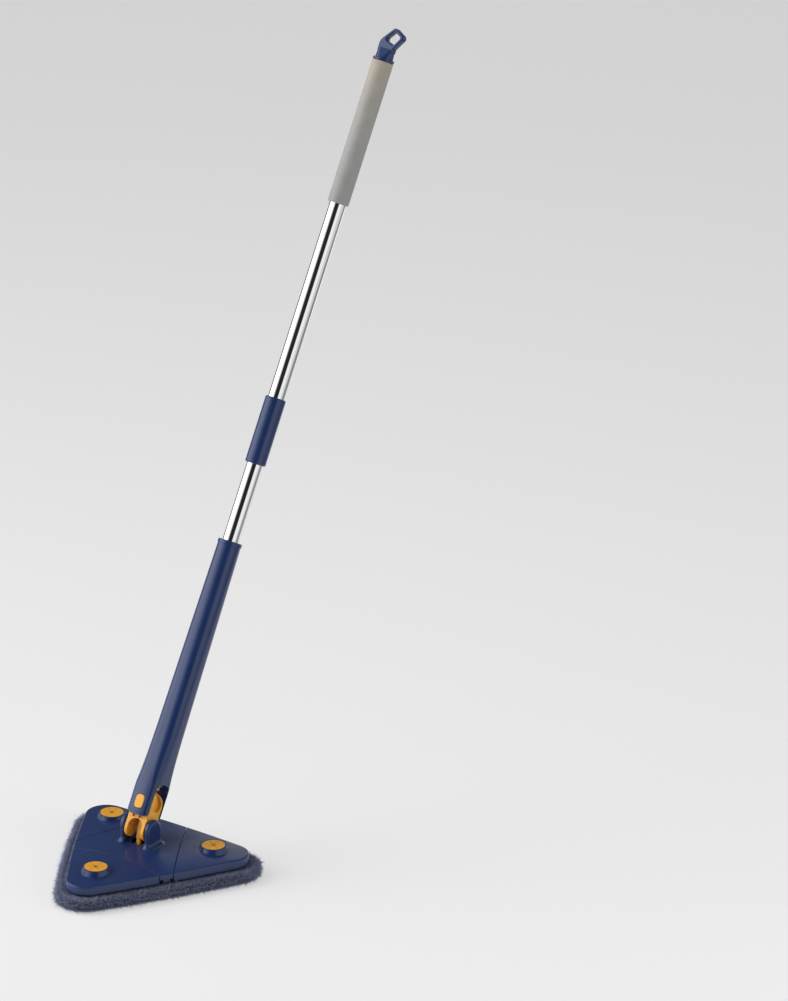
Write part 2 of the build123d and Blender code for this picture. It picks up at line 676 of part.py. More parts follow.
# Knuckle: forked below round the tilt pins, and turning in the sleeve about the swing screw
with BuildPart() as knuckle:
    with BuildSketch(SIDE.offset(-KNUCKLE_W / 2)):
        ease = KNUCKLE_TOP - KNUCKLE_EASE
        crown = (-KNUCKLE_CROWN, KNUCKLE_TOP)
        with BuildLine():
            Polyline((KNUCKLE_BACK, KNUCKLE_TURN), (KNUCKLE_BACK, 0), (KNUCKLE_FRONT, -LOBE_DROP),
                     (-KNUCKLE_FRONT, -LOBE_DROP), (-KNUCKLE_FRONT, ease))
            CenterArc((KNUCKLE_EASE - KNUCKLE_FRONT, ease), KNUCKLE_EASE, 180, -90)
            Line((KNUCKLE_EASE - KNUCKLE_FRONT, KNUCKLE_TOP), crown)
            TangentArc(crown, (KNUCKLE_BACK, KNUCKLE_TURN), tangent=(1, 0))
        make_face()
        with Locations((0, -LOBE_DROP)):
            Circle(KNUCKLE_FRONT)
    extrude(amount=KNUCKLE_W)
    low = LOBE_DROP + KNUCKLE_FRONT
    tall = KNUCKLE_TOP + low + KNUCKLE_ROUND
    with BuildSketch(FACE):
        with Locations((0, KNUCKLE_TOP - tall / 2)):
            RectangleRounded(KNUCKLE_W, tall, KNUCKLE_ROUND)
    extrude(amount=KNUCKLE_W, both=True, mode=Mode.INTERSECT)
    rod(FACE, (0, SWING_UP), SWING_BOSS_R, -BOSS_BACK, -CHANNEL_BACK)
    ring(FACE, (0, SWING_UP), TURN_RING_R + TURN_RING_W, TURN_RING_R, SPRING_LOW,
         CHEEK_IN + TURN_RING_BITE)
    arch_r = KNUCKLE_W / 2 - CHEEK_T
    with BuildSketch(FACE):
        with Locations((0, ARCH_UP - arch_r)):
            Circle(arch_r)
            Rectangle(2 * arch_r, 2 * low, align=(Align.CENTER, Align.MAX))
    extrude(amount=KNUCKLE_W, both=True, mode=Mode.SUBTRACT)
    block(POLE, (-CHANNEL_X / 2, CHANNEL_X / 2), (-CHANNEL_FRONT, CHANNEL_BACK),
          (0, KNUCKLE_TOP + LOOSE), Mode.SUBTRACT)
    for side in (-1, 1):
        start = side * (KNUCKLE_W / 2 - TILT_PIN_BITE - FIT)
        rod(SIDE, (0, 0), TILT_PIN_R + FIT, start, side * KNUCKLE_W, Mode.SUBTRACT)
    rod(FACE, (0, SWING_UP), SWING_PIN_R + SWING_BUSH_T + FIT, -BOSS_BACK,
        SWING_BUSH_L - BOSS_BACK, Mode.SUBTRACT)
    rod(FACE, (0, SWING_UP), SPRING_WIDE_R + LOOSE, SPRING_LOW, KNUCKLE_FRONT, Mode.SUBTRACT)
    for start in (KNUCKLE_W / 2 - POCKET_DEPTH, -KNUCKLE_W / 2):
        with BuildSketch(SIDE.offset(start)):
            with Locations((POCKET_BACK, POCKET_UP)):
                RectangleRounded(POCKET_Y, POCKET_S, POCKET_R)
            with Locations((-KNUCKLE_CROWN, KNUCKLE_TURN)):
                Circle(KNUCKLE_TOP - KNUCKLE_TURN - POCKET_WALL, mode=Mode.INTERSECT)
        extrude(amount=POCKET_DEPTH, mode=Mode.SUBTRACT)
    with BuildSketch(FACE.offset(KNUCKLE_FRONT - DIMPLE_DEPTH)):
        with Locations((-DIMPLE_STEP / 2, DIMPLE_UP), (DIMPLE_STEP / 2, DIMPLE_UP)):
            Rectangle(DIMPLE_X, DIMPLE_S)
    extrude(amount=DIMPLE_DEPTH, mode=Mode.SUBTRACT)
keep(knuckle, "knuckle")

with BuildPart() as swing_bush:
    ring(FACE, (0, SWING_UP), SWING_PIN_R + SWING_BUSH_T, SWING_PIN_R + FIT, -BOSS_BACK,
         SWING_BUSH_L - BOSS_BACK)
keep(swing_bush, "swing_bush")

with BuildPart() as swing_screw:
    rod(FACE, (0, SWING_UP), SWING_HEAD_R, -SLEEVE_W / 2, SWING_HEAD_T - SLEEVE_W / 2)
    rod(FACE, (0, SWING_UP), SWING_PIN_R, SWING_HEAD_T - SLEEVE_W / 2, SWING_BUSH_L - BOSS_BACK)
    with BuildSketch(FACE.offset(-SLEEVE_W / 2)):
        with Locations((0, SWING_UP)):
            Rectangle(SWING_HEAD_R, SWING_HEAD_T / 2)
            Rectangle(SWING_HEAD_T / 2, SWING_HEAD_R)
    extrude(amount=SWING_HEAD_T / 2, mode=Mode.SUBTRACT)
keep(swing_screw, "swing_screw")

# Sleeve: square with round corners at the foot, round at the top, forked round the knuckle
with BuildPart() as front_panel:
    tall = PANEL_TOP - PANEL_LOW + PANEL_END_R
    with BuildSketch(FACE):
        with Locations((0, PANEL_LOW + tall / 2)):
            RectangleRounded(PANEL_W, tall, PANEL_END_R)
    extrude(amount=SLEEVE_W)
    levels = [sleeve_section(SLEEVE_LOW, PANEL_RISE)]
    for share in (*FLARE_SHARES, *SHANK_SHARES[1:3]):
        up = FLARE_UP + (NECK_UP - FLARE_UP) * share
        fade = (PANEL_TOP - up) / (PANEL_TOP - FLARE_UP)
        levels.append(sleeve_section(up, PANEL_RISE * (2 * fade - 1)))
    loft(levels, ruled=True, mode=Mode.INTERSECT)

with BuildPart() as sleeve_hollow:
    ups = [FLARE_UP + (NECK_UP - FLARE_UP) * share for share in SHANK_SHARES[:-1]]
    ups = [RETAINER_TOP + SLEEVE_SKIN, *ups, SLEEVE_TOP - GUIDE_L - SLEEVE_SKIN]
    loft([sleeve_section(up, -SLEEVE_SKIN) for up in ups], ruled=True)

with BuildPart() as sleeve:
    extrude(sleeve_section(SLEEVE_LOW, 0), amount=FLARE_UP - SLEEVE_LOW)
    tall = FLARE_UP - SLEEVE_LOW + SLEEVE_END_R
    with BuildSketch(FACE):
        with Locations((0, SLEEVE_LOW + tall / 2)):
            RectangleRounded(SLEEVE_W, tall, SLEEVE_END_R)
    extrude(amount=SLEEVE_W, both=True, mode=Mode.INTERSECT)
    for shares, straight in ((FLARE_SHARES, False), (SHANK_SHARES, True)):
        ups = [FLARE_UP + (NECK_UP - FLARE_UP) * share for share in shares]
        loft([sleeve_section(up, 0) for up in ups], ruled=straight)
    rod(POLE, (0, 0), RIM_D / 2, NECK_UP, SLEEVE_TOP)
    fillet(sleeve.edges().sort_by(Axis(POLE.origin, POLE.z_dir))[-1], SLEEVE_RIM_ROUND)
    add(front_panel.part)
    tall = SLOT_TOP + SLOT_CORNER
    with BuildSketch(SIDE):
        with Locations((0, SLOT_TOP - tall / 2)):
            RectangleRounded(2 * CHEEK_IN, tall, SLOT_CORNER)
    extrude(amount=SLEEVE_W, both=True, mode=Mode.SUBTRACT)
    rod(POLE, (0, 0), BORE_D / 2, SLOT_TOP - SLOT_CORNER, SLEEVE_TOP, Mode.SUBTRACT)
    add(sleeve_hollow.part, mode=Mode.SUBTRACT)
    keyway = BORE_D / 2 + KEYWAY_DEPTH
    block(POLE, (-keyway, keyway), (-KEYWAY_W / 2, KEYWAY_W / 2), (SLOT_TOP - SLOT_CORNER, THRUST_LOW),
          Mode.SUBTRACT)
    with BuildSketch(FACE.offset(BUTTON_BACK)):
        with Locations((0, SWING_UP)):
            RectangleRounded(BUTTON_W + 2 * LOOSE, BUTTON_H + 2 * LOOSE, BUTTON_R + LOOSE)
    extrude(amount=SLEEVE_W, mode=Mode.SUBTRACT)
    ring(FACE, (0, SWING_UP), TURN_RING_R + TURN_RING_W + SIDE_GAP, TURN_RING_R - SIDE_GAP,
         BUTTON_BACK, CHEEK_IN + TURN_RING_BITE + LOOSE, Mode.SUBTRACT)
    rod(FACE, (0, SWING_UP), SWING_PIN_R + FIT, -SLEEVE_W / 2, -BOSS_BACK, Mode.SUBTRACT)
    rod(FACE, (0, SWING_UP), SWING_HEAD_R + LOOSE, -SLEEVE_W / 2, SWING_HEAD_T - SLEEVE_W / 2,
        Mode.SUBTRACT)
keep(sleeve, "sleeve")

# Button and the cone spring that pushes it out
with BuildPart() as button:
    face = SLEEVE_W / 2 + PANEL_RISE + BUTTON_PROUD
    with BuildSketch(FACE.offset(BUTTON_BACK)):
        with Locations((0, SWING_UP)):
            RectangleRounded(BUTTON_W, BUTTON_H, BUTTON_R)
    extrude(amount=face - BUTTON_BACK)
    fillet(button.faces().sort_by(Axis(FACE.origin, FACE.z_dir))[-1].edges(), BUTTON_ROUND)
    with BuildSketch(FACE.offset(BUTTON_BACK)):
        with Locations((0, SWING_UP)):
            RectangleRounded(BUTTON_W + 2 * BUTTON_LIP, BUTTON_H + 2 * BUTTON_LIP, BUTTON_R + BUTTON_LIP)
    extrude(amount=BUTTON_LIP_T)
keep(button, "button")

with BuildPart() as button_spring:
    for wide, narrow, mode in ((0, 0, Mode.ADD), (SPRING_T, SPRING_T, Mode.SUBTRACT)):
        with BuildSketch(FACE.offset(SPRING_LOW)):
            with Locations((0, SWING_UP)):
                Circle(SPRING_WIDE_R - wide)
        with BuildSketch(FACE.offset(BUTTON_BACK)):
            with Locations((0, SWING_UP)):
                Circle(SPRING_NARROW_R - narrow)
        loft(ruled=True, mode=mode)
keep(button_spring, "button_spring")

# Wringing drive: traveller nut, lead screw with its collar and hexagon, and what holds them
with BuildPart() as traveller:
    rod(POLE, (0, 0), BORE_D / 2 - SIDE_GAP, NUT_LOW, NUT_LOW + NUT_L)
    key = BORE_D / 2 + KEYWAY_DEPTH - SIDE_GAP
    half = KEYWAY_W / 2 - SIDE_GAP
    block(POLE, (-key, key), (-half, half), (NUT_LOW, NUT_LOW + NUT_L))
    block(POLE, (-CLEVIS_X / 2, CLEVIS_X / 2), (-CLEVIS_Y / 2, CLEVIS_Y / 2), (TRAVELLER_LOW, NUT_LOW))
    half = STRAP_W / 2 + SIDE_GAP
    slot_top = STRAP_TOP + STRAP_EYE_R + SIDE_GAP
    block(POLE, (-half, half), (-CLEVIS_Y, CLEVIS_Y), (TRAVELLER_LOW, slot_top), Mode.SUBTRACT)
    rod(SIDE, (0, STRAP_TOP), STRAP_PIN_R + FIT, -CLEVIS_X, CLEVIS_X, Mode.SUBTRACT)
    rod(POLE, (0, 0), LEAD_R + SLIDE, slot_top, NUT_LOW + NUT_L, Mode.SUBTRACT)
keep(traveller, "traveller")

with BuildPart() as strap_pin_high:
    rod(SIDE, (0, STRAP_TOP), STRAP_PIN_R, -CLEVIS_X / 2, CLEVIS_X / 2)
keep(strap_pin_high, "strap_pin_high")

with BuildPart() as drive_rod:
    rod(POLE, (0, 0), LEAD_R, LEAD_LOW, COLLAR_LOW)
    rod(POLE, (0, 0), COLLAR_R, COLLAR_LOW, COLLAR_LOW + COLLAR_L)
    rod(POLE, (0, 0), LEAD_R, COLLAR_LOW + COLLAR_L, RETAINER_TOP + LOOSE)
    with BuildSketch(POLE.offset(RETAINER_TOP + LOOSE)):
        RegularPolygon(HEX_AF / 2, 6, major_radius=False)
    extrude(amount=ROD_TOP - RETAINER_TOP - LOOSE)
keep(drive_rod, "drive_rod")

with BuildPart() as thrust_bush:
    ring(POLE, (0, 0), BORE_D / 2 - FIT, LEAD_R + SLIDE, THRUST_LOW, THRUST_LOW + THRUST_L)
keep(thrust_bush, "thrust_bush")

with BuildPart() as retainer_ring:
    ring(POLE, (0, 0), BORE_D / 2 - FIT, LEAD_R + SLIDE, RETAINER_LOW, RETAINER_TOP)
keep(retainer_ring, "retainer_ring")

with BuildPart() as guide_bush:
    ring(POLE, (0, 0), BORE_D / 2 - FIT, TUBE_R + SLIDE, SLEEVE_TOP - GUIDE_L, SLEEVE_TOP)
keep(guide_bush, "guide_bush")

# Pole: keyed foot, two tubes, the coupler between them, the grip and the hook cap
with BuildPart() as tube_key:
    rod(POLE, (0, 0), BORE_D / 2 - SIDE_GAP, TUBE_LOW - KEY_FLANGE_L, TUBE_LOW)
    rod(POLE, (0, 0), TUBE_BORE_R - FIT, TUBE_LOW, TUBE_LOW + KEY_SPIGOT_L)
    with BuildSketch(POLE.offset(TUBE_LOW - KEY_FLANGE_L)):
        RegularPolygon(HEX_AF / 2 + SLIDE, 6, major_radius=False)
    extrude(amount=KEY_FLANGE_L + KEY_SPIGOT_L, mode=Mode.SUBTRACT)
keep(tube_key, "tube_key")

with BuildPart() as lower_tube:
    ring(POLE, (0, 0), TUBE_R, TUBE_BORE_R, TUBE_LOW, COUPLER_MIDDLE - INSERT_FLANGE / 2)
keep(lower_tube, "lower_tube")

with BuildPart() as upper_tube:
    ring(POLE, (0, 0), TUBE_R, TUBE_BORE_R, COUPLER_MIDDLE + INSERT_FLANGE / 2, TUBE_TOP)
keep(upper_tube, "upper_tube")

with BuildPart() as coupler_insert:
    low = COUPLER_MIDDLE - INSERT_BITE
    high = COUPLER_MIDDLE + INSERT_BITE
    rod(POLE, (0, 0), TUBE_BORE_R - FIT, low, high)
    rod(POLE, (0, 0), TUBE_R, COUPLER_MIDDLE - INSERT_FLANGE / 2, COUPLER_MIDDLE + INSERT_FLANGE / 2)
    rod(POLE, (0, 0), TUBE_BORE_R - FIT - INSERT_WALL, low, high, Mode.SUBTRACT)
keep(coupler_insert, "coupler_insert")

with BuildPart() as coupler:
    rod(POLE, (0, 0), COUPLER_D / 2, COUPLER_LOW, COUPLER_LOW + COUPLER_L)
    chamfer(coupler.edges().filter_by(GeomType.CIRCLE), COUPLER_CHAMFER)
    rod(POLE, (0, 0), TUBE_R + FIT, COUPLER_LOW, COUPLER_LOW + COUPLER_L, Mode.SUBTRACT)
keep(coupler, "coupler")

with BuildPart() as grip:
    rod(POLE, (0, 0), GRIP_D / 2, GRIP_LOW, GRIP_TOP)
    fillet(grip.edges().filter_by(GeomType.CIRCLE), GRIP_ROUND)
    rod(POLE, (0, 0), TUBE_R + FIT, GRIP_LOW, GRIP_TOP, Mode.SUBTRACT)
    chamber = (GRIP_L - 3 * GRIP_SEAT) / 2
    for start in (GRIP_LOW + GRIP_SEAT, GRIP_LOW + 2 * GRIP_SEAT + chamber):
        rod(POLE, (0, 0), GRIP_D / 2 - GRIP_WALL, start, start + chamber, Mode.SUBTRACT)
keep(grip, "grip")

with BuildPart() as hook_cap:
    left = (-HOOK_NECK_D / 2, GRIP_TOP + HOOK_LEFT)
    peak = (HOOK_PEAK_X, GRIP_TOP + HOOK_PEAK)
    nose = (HOOK_TIP_X, GRIP_TOP + HOOK_TIP)
    right = (HOOK_NECK_D / 2, GRIP_TOP + HOOK_RIGHT)
    low_left = (-HOOK_NECK_D / 2, GRIP_TOP + HOOK_FOOT)
    low_right = (HOOK_NECK_D / 2, GRIP_TOP + HOOK_FOOT)
    with BuildSketch(FACE.offset(-HOOK_FLAT_T / 2)):
        with BuildLine():
            FilletPolyline(low_left, left, peak, nose, right, low_right,
                           radius=(HOOK_BEND_R, HOOK_PEAK_R, HOOK_PEAK_R, HOOK_BEND_R / 4))
            Line(low_right, low_left)
        make_face()
    extrude(amount=HOOK_FLAT_T)
    with BuildSketch(FACE.offset(-HOOK_FLAT_T / 2)) as window:
        Polygon(left, peak, nose, right, align=None)
        offset(amount=-HOOK_WALL, kind=Kind.INTERSECTION, mode=Mode.REPLACE)
        fillet(window.vertices(), HOOK_HOLE_R)
    extrude(amount=HOOK_FLAT_T, mode=Mode.SUBTRACT)
    faces = hook_cap.faces().filter_by(Axis(FACE.origin, FACE.z_dir))
    fillet(faces.edges(), HOOK_ROUND)
    with BuildSketch(POLE.offset(CAP_TOP)):
        RectangleRounded(HOOK_NECK_D, HOOK_NECK_D, HOOK_NECK_D / 2 - FIT)
    with BuildSketch(POLE.offset(GRIP_TOP + HOOK_NECK_L)):
        RectangleRounded(HOOK_NECK_D, HOOK_FLAT_T, HOOK_FLAT_R)
    loft(ruled=True)
    rod(POLE, (0, 0), CAP_FLANGE_D / 2, GRIP_TOP, CAP_TOP)
    rod(POLE, (0, 0), TUBE_R, TUBE_TOP, GRIP_TOP)
    rod(POLE, (0, 0), TUBE_BORE_R - FIT, TUBE_TOP - CAP_SPIGOT_L, TUBE_TOP)
    rod(POLE, (0, 0), TUBE_BORE_R - FIT - CAP_WALL, TUBE_TOP - CAP_SPIGOT_L, TUBE_TOP, Mode.SUBTRACT)
keep(hook_cap, "hook_cap")
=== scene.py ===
import json
import math
import random

import bmesh
import bpy
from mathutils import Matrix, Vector, noise
from mathutils.geometry import interpolate_bezier


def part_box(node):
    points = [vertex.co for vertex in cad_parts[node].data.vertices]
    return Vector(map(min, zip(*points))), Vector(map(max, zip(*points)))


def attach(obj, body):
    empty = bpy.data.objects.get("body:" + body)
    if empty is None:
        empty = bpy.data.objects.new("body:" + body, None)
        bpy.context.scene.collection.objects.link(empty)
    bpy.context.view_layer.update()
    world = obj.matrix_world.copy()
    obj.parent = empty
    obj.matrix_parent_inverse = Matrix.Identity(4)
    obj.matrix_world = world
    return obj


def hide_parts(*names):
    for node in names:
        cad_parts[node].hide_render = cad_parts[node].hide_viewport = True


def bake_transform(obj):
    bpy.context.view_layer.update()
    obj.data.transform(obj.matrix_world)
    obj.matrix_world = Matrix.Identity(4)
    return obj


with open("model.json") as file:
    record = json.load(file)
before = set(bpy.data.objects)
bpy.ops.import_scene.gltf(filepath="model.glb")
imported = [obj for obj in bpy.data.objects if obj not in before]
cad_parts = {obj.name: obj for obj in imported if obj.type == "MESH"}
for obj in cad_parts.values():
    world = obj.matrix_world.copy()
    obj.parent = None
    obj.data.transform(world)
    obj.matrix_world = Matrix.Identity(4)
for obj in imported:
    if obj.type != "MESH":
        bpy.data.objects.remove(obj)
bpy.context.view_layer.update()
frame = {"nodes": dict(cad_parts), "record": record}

# Places taken from the model, in metres
LEAN = math.radians(30.4)
PIN = Vector((0.0, 0.0, 0.061))
AXIS = Vector((0.0, math.sin(LEAN), math.cos(LEAN)))
CORNERS = {"a": 270.0, "b": 30.0, "c": 150.0}
FOLD_DIST = 0.0485

# The pad's outline, and the pile that stands on it
PAD_EDGE = 0.09485
PAD_CORNER_R = 0.040
PAD_BOW = 0.0025
PAD_T = 0.017
PAD_LAP = 0.004
PAD_ROUND = 0.0062
PILE = 0.0042
PLATE_EDGE = 0.0795
PLATE_CORNER_R = 0.026

# The pad's body under the pile: shares of the pile that stand clear of it, and its lumps
CLEAR_ROUND = 0.4
CLEAR_BELOW = 0.55
CLEAR_ABOVE = 0.75
BODY_STEP = 0.004
BODY_RINGS = (0.0, 0.16, 0.3, 0.42, 0.54, 0.64, 0.74, 0.83, 0.9, 0.96)
LUMPS = 160.0
LUMP_DEPTH = 0.0007

# The fibres of the pile: spacing, tufts and strays, and the shape of one fibre
PILE_SEED = 11
SIDE_STEP = 0.0011
SIDE_ROWS = 9
SIDE_JITTER = 0.0005
SIDE_DEPTH = 0.0006
SIDE_WIDTH = (0.0002, 0.00034)
TOP_STEP = 0.0012
TOP_WIDTH = 0.00032
TOP_LENGTH = 0.85
UNDER_STEP = 0.0021
UNDER_WIDTH = 0.0006
UNDER_LENGTH = 0.5
UNDER_SIDE = 0.55
FIELD = 0.150
PLATE_LAP = 0.003
TUFTS = 390.0
TUFT_LEAN = 0.5
STRAY_LEAN = 0.55
FLAT_LEAN = 0.7
STRAYS = 0.15
STRAY_LENGTH = 1.45
ROOT_DEPTH = 0.0006
KNEE_RISE = 0.6
KNEE_LEAN = 0.35
KNEE_WIDTH = 0.8
# How far the knee lies along the painted shade from the fibre's dark root to its light tip
KNEE_SHADE = 0.7
TIP_RISE = 0.88

# The hook tape between the pad and the head
HOOK_T = 0.002
HOOK_INSET = 0.0015
HOOK_BACK = 0.008
HOOK_LENGTH = 0.0013
HOOK_WIDTH = 0.00022
HOOK_STEP = 0.0009
HOOK_RIM_STEP = 0.003
HOOK_SEED = 5

# The pull strap, from its pin in the hub to its pin in the traveller
STRAP_LOW = Vector((0.0, -0.003, 0.0315))
STRAP_LOW_HANDLE = Vector((0.0, -0.0047, 0.060))
STRAP_HIGH_HANDLE = PIN + AXIS * 0.012
STRAP_HIGH = PIN + AXIS * 0.050
STRAP_HALF_W = 0.0035
STRAP_HALF_T = 0.002
STRAP_EYE_R = 0.0035
STRAP_HOLE_R = 0.0017
RIBBON_LOW = 0.0425
RIBBON_TOP = 0.0465
SHANK_SHARE = 0.85
SHANK_LAP = 0.0035
SHANK_LOW = 0.0405

# The crown on the front of the sleeve's foot
CROWN_R = 0.041
CROWN_FULL = 0.055
CROWN_TOP = 0.110

# The camera
VIEW_TURN = math.radians(36.8)
VIEW_RISE = math.radians(24.8)
VIEW_DISTANCE = 36.0
FRAME_HEIGHT = 1.2119
SENSOR = 36.0
RIGHT_OF_PIN = 0.3071
ABOVE_PIN = 0.3923

# Light: levels round the pole in degrees from the camera's side, and the floor's shades
STUDIO = ((-180, 0.10), (-130, 0.10), (-118, 1.2), (-108, 2.3), (-64, 2.3), (-48, 0.9), (-38, 0.7),
          (-30, 0.02), (17, 0.02), (24, 0.95), (100, 0.95), (115, 0.35), (165, 0.25), (180, 0.10))
ROOF_FROM = 0.35
ROOF_TO = 0.75
ROOF_LEVEL = 0.12
FLOOR_SIZE = 40.0
FLOOR_GLOW = 0.55
FLOOR_NEAR = (-0.64, 0.92)
FLOOR_FAR = (2.25, 0.78)
FLOOR_COLOUR = 0.80
BACKDROP = 0.75
# Painted dark reflections: patches beside the picture where the floor is painted dark for glossy rays
# only, standing in for black flags: distance to the right, darkness
DARK_REFLECTION_PATCHES = ((-3.0, 1.0), (-0.7, 1.0), (-0.5, 0.0), (0.85, 0.0), (0.95, 0.85), (2.2, 0.85), (2.6, 0.0),
         (3.0, 0.0))
DARK_REFLECTION_LEVEL = 0.06

# Lamps: name, place from the point that they aim at, width and height, and power
LAMP_AIM = Vector((0.0, 0.2, 0.4))
LAMPS = (("key_left", Vector((-1.46, -1.18, 0.68)) * 1.2, (1.4, 1.8), 38),
         ("fill_right", Vector((2.0, 0.08, 0.3)), (1.0, 1.8), 14),
         ("top", Vector((0.0, 0.0, 2.2)), (2.0, 2.0), 16))

# The card that the head mirrors to the camera: the point it aims at, its distance and its shift
CARD_AIM = Vector((0.10, 0.02, 0.03))
CARD_DISTANCE = 1.1
CARD_SHIFT = 0.35
CARD_SIZE = (0.7, 0.9)
CARD_POWER = 1.2

# The rounding of moulded edges, and the colour sockets of a mix node
EDGE_EASE = 0.0009
MIX_COLOURS = (6, 7)
MIX_RESULT = 2
COS_60 = 0.5

# Node helpers


def material(name, colour, rough, metal=0.0):
    """A new material and its nodes, with the shader's plain values set."""
    mat = bpy.data.materials.new(name)
    mat.use_nodes = True
    shader = mat.node_tree.nodes["Principled BSDF"]
    shader.inputs["Base Color"].default_value = (*colour, 1.0)
    shader.inputs["Roughness"].default_value = rough
    shader.inputs["Metallic"].default_value = metal
    return mat, mat.node_tree, shader


def place(tree):
    """The place of a point in the model's own frame."""
    return tree.nodes.new("ShaderNodeTexCoord").outputs["Object"]


def stretched(tree, scale, turn=(0.0, 0.0, 0.0)):
    """Coordinates that are turned and scaled, for a grain with a direction."""
    mapping = tree.nodes.new("ShaderNodeMapping")
    mapping.inputs["Rotation"].default_value = turn
    mapping.inputs["Scale"].default_value = scale
    tree.links.new(place(tree), mapping.inputs["Vector"])
    return mapping.outputs["Vector"]


def noise_of(tree, scale, detail=3.0, vector=None, rough=0.5):
    """A noise texture's value."""
    node = tree.nodes.new("ShaderNodeTexNoise")
    node.inputs["Scale"].default_value = scale
    node.inputs["Detail"].default_value = detail
    node.inputs["Roughness"].default_value = rough
    tree.links.new(vector or place(tree), node.inputs["Vector"])
    return node.outputs["Fac"]


def ramp(tree, value, stops):
    """Colours, or greys, along a value."""
    node = tree.nodes.new("ShaderNodeValToRGB")
    first, last = stops[0], stops[-1]
    node.color_ramp.elements[0].position = first[0]
    node.color_ramp.elements[0].color = (*first[1], 1.0)
    node.color_ramp.elements[1].position = last[0]
    node.color_ramp.elements[1].color = (*last[1], 1.0)
    for spot, colour in stops[1:-1]:
        node.color_ramp.elements.new(spot).color = (*colour, 1.0)
    tree.links.new(value, node.inputs["Fac"])
    return node.outputs["Color"]


def grey(value):
    return (value, value, value)


def calculate(tree, operation, *values):
    """A math node: numbers are set on its sockets, and outputs are linked to them."""
    node = tree.nodes.new("ShaderNodeMath")
    node.operation = operation
    for socket, value in zip(node.inputs, values):
        if isinstance(value, float):
            socket.default_value = value
        else:
            tree.links.new(value, socket)
    return node.outputs["Value"]


def along(tree, vector, way):
    """How far a vector reaches along a direction."""
    node = tree.nodes.new("ShaderNodeVectorMath")
    node.operation = "DOT_PRODUCT"
    node.inputs[1].default_value = way
    tree.links.new(vector, node.inputs[0])
    return node.outputs["Value"]


def share_of(tree, value, low, high):
    """Where a value lies between two others, from 0 to 1."""
    node = tree.nodes.new("ShaderNodeMapRange")
    node.inputs["From Min"].default_value = low
    node.inputs["From Max"].default_value = high
    tree.links.new(value, node.inputs["Value"])
    return node.outputs["Result"]


def mixed(tree, share, first, second, blend="MIX"):
    """Two colours, mixed by a share. A plain colour is set on its socket."""
    node = tree.nodes.new("ShaderNodeMix")
    node.data_type = "RGBA"
    node.blend_type = blend
    sockets = (node.inputs["Factor"], *(node.inputs[i] for i in MIX_COLOURS))
    for socket, value in zip(sockets, (share, first, second)):
        if isinstance(value, float):
            socket.default_value = value
        elif isinstance(value, tuple):
            socket.default_value = (*value, 1.0)
        else:
            tree.links.new(value, socket)
    return node.outputs[MIX_RESULT]


def bump(tree, shader, height, strength, distance):
    """A bump on the shader from a height."""
    node = tree.nodes.new("ShaderNodeBump")
    node.inputs["Strength"].default_value = strength
    node.inputs["Distance"].default_value = distance
    tree.links.new(height, node.inputs["Height"])
    if shader:
        tree.links.new(node.outputs["Normal"], shader.inputs["Normal"])
    return node


# Materials


def plastic(name, dark, light, rough, spread, peel):
    """Moulded plastic: a faint cloud in the colour, an uneven gloss, a fine peel and eased edges."""
    mat, tree, shader = material(name, dark, rough)
    cloud = noise_of(tree, 22.0, 4.0)
    colours = ramp(tree, cloud, ((0.3, dark), (0.7, light)))
    tree.links.new(colours, shader.inputs["Base Color"])
    smudge = noise_of(tree, 60.0, 5.0, rough=0.65)
    gloss = ramp(tree, smudge, ((0.3, grey(rough - spread)), (0.75, grey(rough + spread))))
    tree.links.new(gloss, shader.inputs["Roughness"])
    eased = tree.nodes.new("ShaderNodeBevel")
    eased.samples = 4
    eased.inputs["Radius"].default_value = EDGE_EASE
    skin = bump(tree, shader, noise_of(tree, 900.0, 2.0), peel, 0.0002)
    tree.links.new(eased.outputs["Normal"], skin.inputs["Normal"])
    return mat


def crowned(mat):
    """Gives the sleeve's flat front a slight crown that dies out above its foot."""
    tree = mat.node_tree
    across = along(tree, place(tree), (1.0, 0.0, 0.0))
    up = along(tree, place(tree), AXIS)
    foot = share_of(tree, up, PIN.dot(AXIS) + CROWN_TOP, PIN.dot(AXIS) + CROWN_FULL)
    drop = calculate(tree, "MULTIPLY", calculate(tree, "MULTIPLY", across, across), -0.5 / CROWN_R)
    skin = next(node for node in tree.nodes if node.bl_idname == "ShaderNodeBump")
    eased = skin.inputs["Normal"].links[0].from_socket
    crown = bump(tree, None, calculate(tree, "MULTIPLY", drop, foot), 1.0, 1.0)
    tree.links.new(eased, crown.inputs["Normal"])
    tree.links.new(crown.outputs["Normal"], skin.inputs["Normal"])
    return mat


def chrome_tube():
    """Bright plating with faint drawing lines along the tube."""
    mat, tree, shader = material("tube_chrome_fine", (0.88, 0.885, 0.895), 0.06, 1.0)
    lines = noise_of(tree, 1.0, 4.0, stretched(tree, (1800.0, 1800.0, 14.0), (LEAN, 0.0, 0.0)))
    gloss = ramp(tree, lines, ((0.35, grey(0.04)), (0.7, grey(0.085))))
    tree.links.new(gloss, shader.inputs["Roughness"])
    bump(tree, shader, lines, 0.012, 0.0001)
    return mat


